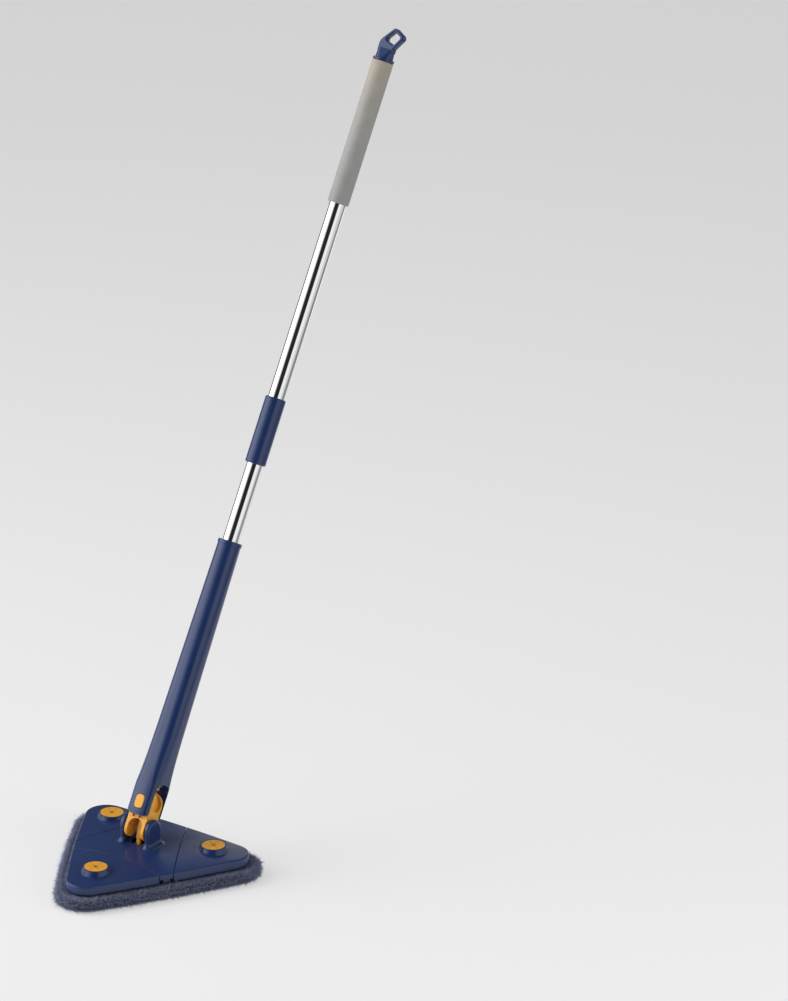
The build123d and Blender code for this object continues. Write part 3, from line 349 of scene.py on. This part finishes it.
def foam_grip():
    """Closed-cell foam, grey and a little warmer towards its top end."""
    mat, tree, shader = material("grip_foam_fine", (0.28, 0.275, 0.26), 0.6)
    low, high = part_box("grip")
    up = along(tree, place(tree), (0.0, 0.0, 1.0))
    warm = ramp(tree, share_of(tree, up, low[2], high[2]),
                ((0.0, (0.265, 0.265, 0.264)), (0.45, (0.282, 0.279, 0.271)), (0.8, (0.305, 0.291, 0.262)),
                 (1.0, (0.335, 0.293, 0.232))))
    cloud = noise_of(tree, 70.0, 3.0)
    shade = ramp(tree, cloud, ((0.3, grey(0.93)), (0.7, grey(1.04))))
    tree.links.new(mixed(tree, 1.0, warm, shade, "MULTIPLY"), shader.inputs["Base Color"])
    gloss = ramp(tree, cloud, ((0.3, grey(0.52)), (0.7, grey(0.66))))
    tree.links.new(gloss, shader.inputs["Roughness"])
    bump(tree, shader, noise_of(tree, 1400.0, 3.0), 0.25, 0.0002)
    return mat


def steel():
    """Plain turned steel."""
    mat, tree, shader = material("pin_steel_fine", (0.58, 0.59, 0.60), 0.32, 1.0)
    rings = noise_of(tree, 1.0, 3.0, stretched(tree, (40.0, 1500.0, 1500.0)))
    gloss = ramp(tree, rings, ((0.3, grey(0.24)), (0.7, grey(0.42))))
    tree.links.new(gloss, shader.inputs["Roughness"])
    bump(tree, shader, rings, 0.08, 0.0001)
    return mat


def pile(name, root, tip, sheen):
    """Soft fibres: dark at the root as painted shade deep in the pile, light at the tip, in patches that
    differ a little.
    """
    mat, tree, shader = material(name, root, 0.95)
    length = tree.nodes.new("ShaderNodeAttribute")
    length.attribute_name = "tip"
    patch = calculate(tree, "MULTIPLY_ADD", noise_of(tree, 330.0, 3.0), 1.0, -0.42)
    # Painted shade: the colour darkens from each fibre's tip to its root, where the pile shades itself.
    shade = calculate(tree, "MULTIPLY_ADD", length.outputs["Fac"], 0.8, patch)
    tree.links.new(ramp(tree, shade, ((0.05, root), (0.95, tip))), shader.inputs["Base Color"])
    shader.inputs["Sheen Weight"].default_value = sheen
    shader.inputs["Sheen Roughness"].default_value = 0.5
    bump(tree, shader, noise_of(tree, 1500.0, 2.0), 0.3, 0.0003)
    return mat


NAVY = ((0.0105, 0.0265, 0.098), (0.0125, 0.030, 0.108), 0.23, 0.04, 0.05)
amber = plastic("amber_plastic_fine", (0.70, 0.315, 0.024), (0.76, 0.355, 0.032), 0.36, 0.05, 0.06)
amber.node_tree.nodes["Principled BSDF"].inputs["Subsurface Weight"].default_value = 0.06
navy = plastic("navy_plastic_fine", *NAVY)
finishes = {
    "navy_plastic": navy,
    "amber_plastic": amber,
    "grey_plastic": plastic("grey_plastic_fine", (0.10, 0.115, 0.145), (0.12, 0.135, 0.165), 0.5, 0.06,
                            0.1),
    "pin_steel": steel(),
    "tube_chrome": chrome_tube(),
    "grip_foam": foam_grip(),
    # Both pile finishes paint shade at the roots: their first colour is the painted shade deep in the
    # pile.
    "hook_tape": pile("hook_tape_fine", (0.004, 0.004, 0.006), (0.022, 0.022, 0.028), 0.2),
    "pad_pile": pile("pad_pile_fine", (0.024, 0.029, 0.064), (0.31, 0.345, 0.55), 0.35),
}
slot_of = {row["node"]: row["material_slot"] for row in frame["record"]["subparts"]}
for node, piece in frame["nodes"].items():
    piece.data.materials.clear()
    piece.data.materials.append(finishes[slot_of[node]])
frame["nodes"]["sleeve"].data.materials[0] = crowned(plastic("navy_sleeve_fine", *NAVY))

# Outlines of the head and the pad


def direction(name):
    """The level direction from the middle of the head to a corner."""
    turn = math.radians(CORNERS[name])
    return Vector((math.cos(turn), math.sin(turn), 0.0))


def outline(edge, corner_r, bow, step):
    """Points and outward normals round the head's triangular outline, about step apart."""
    reach = 2 * (edge - corner_r)
    rise = reach / 2 + bow
    back = (reach ** 2 - rise ** 2) / (2 * bow)
    sixty = math.radians(60)
    half = math.atan2(reach * math.sin(sixty), back + reach * math.cos(sixty))
    found = []
    for corner in CORNERS.values():
        turn = math.radians(corner)
        tip = Vector((reach * math.cos(turn), reach * math.sin(turn), 0.0))
        side = turn + sixty
        far = Vector((-back * math.cos(side), -back * math.sin(side), 0.0))
        arcs = ((tip, corner_r, turn - sixty + half, 2 * (sixty - half)),
                (far, back + edge + bow, side - half, 2 * half))
        for centre, radius, start, sweep in arcs:
            count = max(2, round(radius * sweep / step))
            for i in range(count):
                angle = start + sweep * i / count
                normal = Vector((math.cos(angle), math.sin(angle), 0.0))
                found.append((centre + normal * radius, normal))
    return found


def within(point, edge, corner_r):
    """True inside a triangular outline, with its slight bow left out."""
    reach = 2 * (edge - corner_r)
    for name in CORNERS:
        out = point.dot(direction(name))
        if -out > edge:
            return False
        tip = direction(name) * reach
        away = Vector((point.x - tip.x, point.y - tip.y, 0.0))
        if away.length > corner_r and away.normalized().dot(direction(name)) > COS_60:
            return False
    return True


def region(point, reach):
    """The corner that a point belongs to, past its line at this reach, or the centre."""
    best = "centre"
    for name in CORNERS:
        distance = point.dot(direction(name))
        if distance > reach:
            best, reach = name, distance
    return best


class Shape:
    """Collects the vertices and faces of one piece, and how near each vertex is to a fibre's tip, for the
    pile's painted root shade.
    """

    def __init__(self):
        self.points = []
        self.faces = []
        self.tips = []
        self.index = {}

    def vertex(self, point, tip=0.0, key=None):
        """Adds a vertex, or finds the one with this key again."""
        if key is None or key not in self.index:
            self.points.append(tuple(point))
            self.tips.append(tip)
            if key is None:
                return len(self.points) - 1
            self.index[key] = len(self.points) - 1
        return self.index[key]

    def loop(self, points):
        return [self.vertex(point) for point in points]

    def bridge(self, first, second):
        """Joins two closed loops of vertices with quads."""
        count = len(first)
        for i in range(count):
            after = (i + 1) % count
            self.faces.append((first[i], first[after], second[after], second[i]))

    def fibre(self, root, lean, normal, length, width, rng):
        """A bent fibre of two tapering spans, three-sided."""
        side = normal.orthogonal().normalized()
        other = normal.cross(side)
        turn = rng.uniform(0, math.tau)
        knee = root + (normal * KNEE_RISE + lean * KNEE_LEAN) * length
        rings = []
        # The tip values, from 0 at the root over KNEE_SHADE to 1 at the end, set the pile's painted root
        # shade.
        for centre, radius, tip in ((root - normal * ROOT_DEPTH, width, 0.0),
                                    (knee, width * KNEE_WIDTH, KNEE_SHADE)):
            ring = []
            for k in range(3):
                angle = turn + math.tau * k / 3
                point = centre + (side * math.cos(angle) + other * math.sin(angle)) * radius
                ring.append(self.vertex(point, tip))
            rings.append(ring)
        low, high = rings
        end = self.vertex(root + (normal * TIP_RISE + lean) * length, 1.0)
        self.bridge(low, high)
        for k in range(3):
            self.faces.append((high[k], high[(k + 1) % 3], end))

    def build(self, name, finish):
        mesh = bpy.data.meshes.new(name)
        mesh.from_pydata(self.points, [], self.faces)
        layer = mesh.attributes.new("tip", "FLOAT", "POINT")
        layer.data.foreach_set("value", self.tips)
        mesh.polygons.foreach_set("use_smooth", [True] * len(mesh.polygons))
        mesh.materials.append(finish)
        mesh.update()
        piece = bpy.data.objects.new(name, mesh)
        bpy.context.collection.objects.link(piece)
        return piece


# Pad: a soft body just under the surface, and a pile of short fibres standing on it


def pad_profile(steps):
    """Inset and height along the pad's rounded side, from its top face down to its underside."""
    rounds = PAD_ROUND - PILE * CLEAR_ROUND
    low, high = PILE * CLEAR_BELOW, PAD_T - PILE * CLEAR_ABOVE
    found = []
    for i in range(steps + 1):
        angle = math.pi / 2 * i / steps
        found.append((PILE + rounds * (1 - math.sin(angle)), high - rounds * (1 - math.cos(angle)),
                      (math.sin(angle), math.cos(angle))))
    for i in range(1, steps + 1):
        angle = math.pi / 2 * i / steps
        found.append((PILE + rounds * (1 - math.cos(angle)), low + rounds * (1 - math.sin(angle)),
                      (math.cos(angle), -math.sin(angle))))
    return found


def pad_bodies(shapes):
    """Adds the closed skin of the pad, cut into its four pieces."""
    rounds = outline(PAD_EDGE, PAD_CORNER_R, PAD_BOW, BODY_STEP)
    profile = pad_profile(4)
    inner = len(BODY_RINGS)
    count = len(rounds)

    def ring_point(i, ring):
        """A body point: rings go from the middle of the top, over the side, to the middle below."""
        point, normal = rounds[i % count]
        level = min(max(ring - inner, 0), len(profile) - 1)
        inset, height, _ = profile[level]
        flat = point - normal * inset
        if ring < inner:
            flat = flat * BODY_RINGS[ring]
        elif ring >= inner + len(profile):
            flat = flat * BODY_RINGS[len(profile) + 2 * inner - 1 - ring]
        spot = Vector((flat.x, flat.y, height))
        lump = noise.noise(spot * LUMPS) * LUMP_DEPTH
        return spot + Vector((normal.x * lump, normal.y * lump, lump * 0.5))

    for ring in range(2 * inner + len(profile) - 1):
        for i in range(count):
            corners = [(i, ring), (i, ring + 1), (i + 1, ring + 1), (i + 1, ring)]
            spots = [ring_point(*corner) for corner in corners]
            middle = (spots[0] + spots[1] + spots[2] + spots[3]) / 4
            shape = shapes[region(middle, FOLD_DIST - PAD_LAP)]
            ids = []
            for (k, r), spot in zip(corners, spots):
                key = (0, r) if spot.xy.length < 1e-6 else (k % count, r)
                # The body takes tip 0, the pile's darkest colour: painted shade under the fibres.
                vertex = shape.vertex(spot, 0.0, key)
                if vertex not in ids:
                    ids.append(vertex)
            if len(ids) > 2:
                shape.faces.append(tuple(ids))


def side_fibres(shapes, rng):
    """Adds the fibres round the pad's rounded side."""
    fine = outline(PAD_EDGE, PAD_CORNER_R, PAD_BOW, SIDE_STEP)
    for inset, height, (out, up) in pad_profile(SIDE_ROWS):
        for point, normal in fine:
            jitter = Vector((rng.uniform(-1, 1), rng.uniform(-1, 1), 0.0)) * SIDE_JITTER
            root = point - normal * (inset + rng.uniform(0, SIDE_DEPTH)) + jitter
            root = Vector((root.x, root.y, height + rng.uniform(-SIDE_DEPTH, SIDE_DEPTH)))
            grow = Vector((normal.x * out, normal.y * out, up)).normalized()
            tuft = noise.noise_vector(root * TUFTS)
            stray = Vector((rng.uniform(-1, 1), rng.uniform(-1, 1), rng.uniform(-1, 1)))
            lean = tuft * TUFT_LEAN + stray * STRAY_LEAN
            length = PILE * (rng.uniform(0.7, 1.25) + 0.4 * noise.noise(root * TUFTS))
            if up < -0.5:
                length *= UNDER_SIDE
            elif rng.random() < STRAYS:
                length *= STRAY_LENGTH
            width = rng.uniform(*SIDE_WIDTH)
            shapes[region(root, FOLD_DIST - PAD_LAP)].fibre(root, lean, grow, length, width, rng)


def flat_fibres(shapes, rng):
    """Adds the fibres on the flat top outside the head, and on the underside."""
    profile = pad_profile(1)
    faces = ((profile[0], 1.0, TOP_STEP, TOP_LENGTH, TOP_WIDTH),
             (profile[-1], -1.0, UNDER_STEP, UNDER_LENGTH, UNDER_WIDTH))
    for (inset, level, _), up, spacing, share, width in faces:
        steps = int(2 * FIELD / spacing)
        length = PILE * share
        for i in range(steps):
            for k in range(steps):
                across = -FIELD + spacing * (i + rng.random())
                deep = -FIELD + spacing * (k + rng.random())
                spot = Vector((across, deep, level))
                if not within(spot, PAD_EDGE - inset, PAD_CORNER_R - inset):
                    continue
                if up > 0 and within(spot, PLATE_EDGE - PLATE_LAP, PLATE_CORNER_R - PLATE_LAP):
                    continue
                tuft = noise.noise_vector(spot * TUFTS)
                lean = Vector((tuft.x + rng.uniform(-0.5, 0.5), tuft.y + rng.uniform(-0.5, 0.5), 0.0))
                lean = lean * FLAT_LEAN
                shape = shapes[region(spot, FOLD_DIST - PAD_LAP)]
                shape.fibre(spot, lean, Vector((0, 0, up)), length * rng.uniform(0.8, 1.1), width, rng)


def pad_pieces():
    """The four pieces of the pad, each with its body and its fibres."""
    rng = random.Random(PILE_SEED)
    noise.seed_set(PILE_SEED)
    shapes = {name: Shape() for name in ("centre", *CORNERS)}
    pad_bodies(shapes)
    side_fibres(shapes, rng)
    flat_fibres(shapes, rng)
    return shapes


for name, shape in pad_pieces().items():
    piece = shape.build(f"pad_pile_{name}", finishes["pad_pile"])
    if name == "centre":
        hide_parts("pad_centre")
        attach(piece, "head")
    else:
        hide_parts(f"pad_corner_{name}")
        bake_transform(piece)

# Hook tape: a thin black sheet under each part of the head, with short hooks that show at its rim


def hook_outline(name):
    """The outline of one sheet: the head's outline, cut along the fold lines."""
    rim = outline(PLATE_EDGE - HOOK_INSET, PLATE_CORNER_R - HOOK_INSET, PAD_BOW, HOOK_RIM_STEP)
    mesh = bmesh.new()
    mesh.faces.new([mesh.verts.new(point) for point, _ in rim])
    for corner in CORNERS:
        whole = mesh.verts[:] + mesh.edges[:] + mesh.faces[:]
        out = direction(corner)
        if name == "centre":
            bmesh.ops.bisect_plane(mesh, geom=whole, plane_co=out * (FOLD_DIST - PAD_LAP), plane_no=out,
                                   clear_outer=True)
        elif name == corner:
            bmesh.ops.bisect_plane(mesh, geom=whole, plane_co=out * (FOLD_DIST + HOOK_BACK), plane_no=out,
                                   clear_inner=True)
    mesh.faces.ensure_lookup_table()
    found = [loop.vert.co.copy() for loop in mesh.faces[0].loops]
    mesh.free()
    return found


def hook_sheet(name, rng):
    """One sheet of hook tape."""
    shape = Shape()
    rim = hook_outline(name)
    low = shape.loop([point + Vector((0, 0, PAD_T)) for point in rim])
    high = shape.loop([point + Vector((0, 0, PAD_T + HOOK_T)) for point in rim])
    shape.bridge(low, high)
    shape.faces.append(tuple(high))
    shape.faces.append(tuple(reversed(low)))
    reach = FOLD_DIST - PAD_LAP if name == "centre" else FOLD_DIST + HOOK_BACK
    for point, normal in outline(PLATE_EDGE - HOOK_INSET, PLATE_CORNER_R - HOOK_INSET, PAD_BOW, HOOK_STEP):
        if region(point, reach) != name:
            continue
        for share in (0.25, 0.75):
            root = point + Vector((0, 0, PAD_T + HOOK_T * (share + rng.uniform(-0.15, 0.15))))
            lean = Vector((rng.uniform(-0.4, 0.4), rng.uniform(-0.4, 0.4), rng.uniform(-0.5, 0.2)))
            shape.fibre(root, lean, normal, HOOK_LENGTH * rng.uniform(0.7, 1.1), HOOK_WIDTH, rng)
    return shape


hook_rng = random.Random(HOOK_SEED)
for name in ("centre", *CORNERS):
    piece = hook_sheet(name, hook_rng).build(f"hook_tape_{name}", finishes["hook_tape"])
    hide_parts(f"hook_sheet_{name}")
    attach(piece, "head" if name == "centre" else f"flap_{name}")

# Pull strap: a ribbon that bends over the tilt axis, with an eye that rides on each of its pins.
# The eyes' shanks lie inside the ribbon and slide in it when the strap is drawn up.


def strap_eye(shape, centre, sides=24):
    """A short tube across the strap, round a pin."""
    loops = []
    for radius, across in ((STRAP_EYE_R, -1), (STRAP_EYE_R, 1), (STRAP_HOLE_R, 1), (STRAP_HOLE_R, -1)):
        ring = []
        for k in range(sides):
            angle = math.tau * k / sides
            out = Vector((0.0, math.cos(angle), math.sin(angle))) * radius
            ring.append(centre + out + Vector((across * STRAP_HALF_W, 0.0, 0.0)))
        loops.append(shape.loop(ring))
    for first, second in zip(loops, loops[1:] + loops[:1]):
        shape.bridge(first, second)


def strap_span(shape, path, thickness, sides=20, squareness=0.6):
    """A length of strap along a path, with a section between an oval and a rectangle."""
    side = Vector((1.0, 0.0, 0.0))
    loops = []
    for i, spot in enumerate(path):
        onward = path[min(i + 1, len(path) - 1)] - path[max(i - 1, 0)]
        out = side.cross(onward).normalized()
        ring = []
        for k in range(sides):
            angle = math.tau * k / sides
            wide = math.copysign(abs(math.cos(angle)) ** squareness, math.cos(angle)) * STRAP_HALF_W
            thick = math.copysign(abs(math.sin(angle)) ** squareness, math.sin(angle)) * STRAP_HALF_T
            ring.append(spot + (side * wide + out * thick) * thickness)
        loops.append(shape.loop(ring))
    for first, second in zip(loops, loops[1:]):
        shape.bridge(first, second)
    shape.faces.append(tuple(reversed(loops[0])))
    shape.faces.append(tuple(loops[-1]))


def strap_pieces():
    """The strap's ribbon and its two eyes, each with the part of the path that it follows."""
    path = interpolate_bezier(STRAP_LOW, STRAP_LOW_HANDLE, STRAP_HIGH_HANDLE, STRAP_HIGH, 60)
    shapes = {"foot": Shape(), "ribbon": Shape(), "head": Shape()}
    strap_eye(shapes["foot"], STRAP_LOW)
    strap_span(shapes["foot"], [spot for spot in path if spot.z < RIBBON_LOW + SHANK_LAP], SHANK_SHARE)
    strap_eye(shapes["head"], STRAP_HIGH)
    strap_span(shapes["head"], [spot for spot in path if (spot - PIN).dot(AXIS) > SHANK_LOW], SHANK_SHARE)
    strap_span(shapes["ribbon"], [spot for spot in path if spot.z > RIBBON_LOW
                                  and (spot - PIN).dot(AXIS) < RIBBON_TOP], 1.0)
    return shapes


for name, shape in strap_pieces().items():
    piece = shape.build(f"strap_{name}", finishes["amber_plastic"])
    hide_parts("pull_strap")
    if name == "ribbon":
        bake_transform(piece)
    else:
        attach(piece, "hub" if name == "foot" else "traveller")

# Camera
right = Vector((math.cos(VIEW_TURN), math.sin(VIEW_TURN), 0.0))
ahead = Vector((-right.y, right.x, 0.0))
toward = ahead * -math.cos(VIEW_RISE) + Vector((0.0, 0.0, math.sin(VIEW_RISE)))
target = PIN + right * RIGHT_OF_PIN + toward.cross(right) * ABOVE_PIN
eye = bpy.data.cameras.new("camera")
eye.sensor_fit = "VERTICAL"
eye.sensor_height = SENSOR
eye.lens = SENSOR * VIEW_DISTANCE / FRAME_HEIGHT
eye.clip_end = 4 * VIEW_DISTANCE
camera = bpy.data.objects.new("camera", eye)
camera.location = target + toward * VIEW_DISTANCE
camera.rotation_euler = toward.to_track_quat("Z", "Y").to_euler()
bpy.context.collection.objects.link(camera)
bpy.context.scene.camera = camera

# Floor: pale, a little darker far away as painted light falloff, and with the object's shadow on it


def seen(tree):
    """1 for the rays that show the floor to the camera, also in chrome."""
    light = tree.nodes.new("ShaderNodeLightPath").outputs
    reflected = calculate(tree, "MAXIMUM", light["Is Glossy Ray"], light["Is Transmission Ray"])
    return calculate(tree, "MAXIMUM", light["Is Camera Ray"], reflected)


floor_mesh = bpy.data.meshes.new("floor")
floor_corners = [(x * FLOOR_SIZE, y * FLOOR_SIZE, 0) for x, y in ((-1, -1), (1, -1), (1, 1), (-1, 1))]
floor_mesh.from_pydata(floor_corners, [], [(0, 1, 2, 3)])
floor = bpy.data.objects.new("floor", floor_mesh)
bpy.context.collection.objects.link(floor)
floor_mat, floor_tree, floor_shader = material("floor_pale", grey(FLOOR_COLOUR), 0.9)
floor_shader.inputs["Specular IOR Level"].default_value = 0.1
floor_place = floor_tree.nodes.new("ShaderNodeNewGeometry").outputs["Position"]
# Painted light falloff: the floor's glow is shaded from near to far.
depth = share_of(floor_tree, along(floor_tree, floor_place, ahead), FLOOR_NEAR[0], FLOOR_FAR[0])
shades = ramp(floor_tree, depth, ((0.0, grey(FLOOR_NEAR[1])), (1.0, grey(FLOOR_FAR[1]))))
left_end, right_end = DARK_REFLECTION_PATCHES[0][0], DARK_REFLECTION_PATCHES[-1][0]
beside = share_of(floor_tree, along(floor_tree, floor_place, right), left_end, right_end)
painted_reflection_map = ramp(floor_tree, beside,
             [((spot - left_end) / (right_end - left_end), grey(dark)) for spot, dark in DARK_REFLECTION_PATCHES])
# Painted reflection: glossy rays see the floor dark in these patches, which paints dark bands into the
# chrome.
in_gloss = floor_tree.nodes.new("ShaderNodeLightPath").outputs["Is Glossy Ray"]
painted_reflection_share = calculate(floor_tree, "MULTIPLY", painted_reflection_map, in_gloss)
glow = floor_tree.nodes.new("ShaderNodeEmission")
floor_tree.links.new(mixed(floor_tree, painted_reflection_share, shades, grey(DARK_REFLECTION_LEVEL)), glow.inputs["Color"])
floor_mix = floor_tree.nodes.new("ShaderNodeMixShader")
shown = calculate(floor_tree, "MULTIPLY", seen(floor_tree), FLOOR_GLOW)
floor_tree.links.new(calculate(floor_tree, "MAXIMUM", shown, painted_reflection_share), floor_mix.inputs["Fac"])
floor_tree.links.new(floor_shader.outputs["BSDF"], floor_mix.inputs[1])
floor_tree.links.new(glow.outputs["Emission"], floor_mix.inputs[2])
floor_tree.links.new(floor_mix.outputs["Shader"], floor_tree.nodes["Material Output"].inputs["Surface"])
floor_mesh.materials.append(floor_mat)

# World: a studio whose walls stand round the pole, with a pale background for the camera
world = bpy.data.worlds.new("studio")
bpy.context.scene.world = world
world.use_nodes = True
sky = world.node_tree
ray = sky.nodes.new("ShaderNodeTexCoord").outputs["Generated"]
around = calculate(sky, "ARCTAN2", along(sky, ray, AXIS.cross(toward)), along(sky, ray, toward))
walls = ramp(sky, share_of(sky, around, -math.pi, math.pi),
             [((degrees + 180) / 360, grey(level)) for degrees, level in STUDIO])
roof = share_of(sky, along(sky, ray, AXIS), ROOF_FROM, ROOF_TO)
studio = mixed(sky, roof, walls, grey(ROOF_LEVEL))
camera_ray = sky.nodes.new("ShaderNodeLightPath").outputs["Is Camera Ray"]
sky.links.new(mixed(sky, camera_ray, studio, grey(BACKDROP)), sky.nodes["Background"].inputs["Color"])

# Lamps


def softbox(name, spot, aim, size, power, in_gloss=False):
    """A rectangular lamp that looks at a point."""
    lamp = bpy.data.lights.new(name, "AREA")
    lamp.shape = "RECTANGLE"
    lamp.size, lamp.size_y = size
    lamp.energy = power
    lit = bpy.data.objects.new(name, lamp)
    lit.location = spot
    lit.rotation_euler = (spot - aim).to_track_quat("Z", "Y").to_euler()
    lit.visible_glossy = in_gloss
    lit.visible_diffuse = not in_gloss
    bpy.context.collection.objects.link(lit)


for name, offset, size, power in LAMPS:
    softbox(name, LAMP_AIM + offset, LAMP_AIM, size, power)
mirrored = Vector((-toward.x, -toward.y, toward.z))
card = CARD_AIM + mirrored * CARD_DISTANCE + right * CARD_SHIFT
softbox("card_behind", card, CARD_AIM, CARD_SIZE, CARD_POWER, True)
bpy.context.scene.view_settings.view_transform = "Standard"
